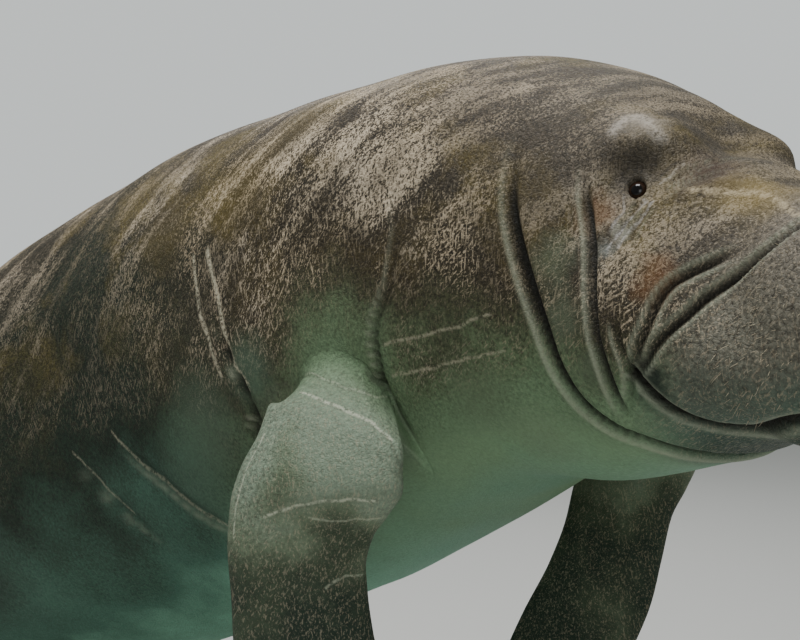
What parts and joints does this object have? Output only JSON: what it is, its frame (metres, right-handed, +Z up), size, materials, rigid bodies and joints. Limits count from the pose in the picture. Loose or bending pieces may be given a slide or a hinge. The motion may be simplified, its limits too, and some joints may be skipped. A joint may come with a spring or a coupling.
{
  "type": "manatee",
  "caption": "Still life-size manatee with a paddle tail and hanging flippers, back arched and head turned, held on a plain flat stand by rods.",
  "frame": {"origin": "middle of the floor under the model, level with the underside of the stand's base", "axes": "+X towards the head, +Y to the animal's left, +Z up"},
  "size_m": [2.7711, 0.9443, 1.1776],
  "materials": {
    "skin": "wet grey-brown wrinkled hide",
    "eye": "glossy near-black",
    "nail": "horn",
    "stand": "matt dark grey paint"
  },
  "bodies": {
    "root": {"head": "skin", "neck": "skin", "thorax": "skin", "abdomen": "skin", "tail_stock": "skin", "tail_paddle": "skin", "flipper_right": "skin", "flipper_left": "skin", "eye_right": "eye", "eye_left": "eye", "nail_right_1": "nail", "nail_right_2": "nail", "nail_right_3": "nail", "nail_left_1": "nail", "nail_left_2": "nail", "nail_left_3": "nail", "stand_base": "stand", "stand_rod_front": "stand", "stand_rod_rear": "stand"}
  },
  "joints": []
}
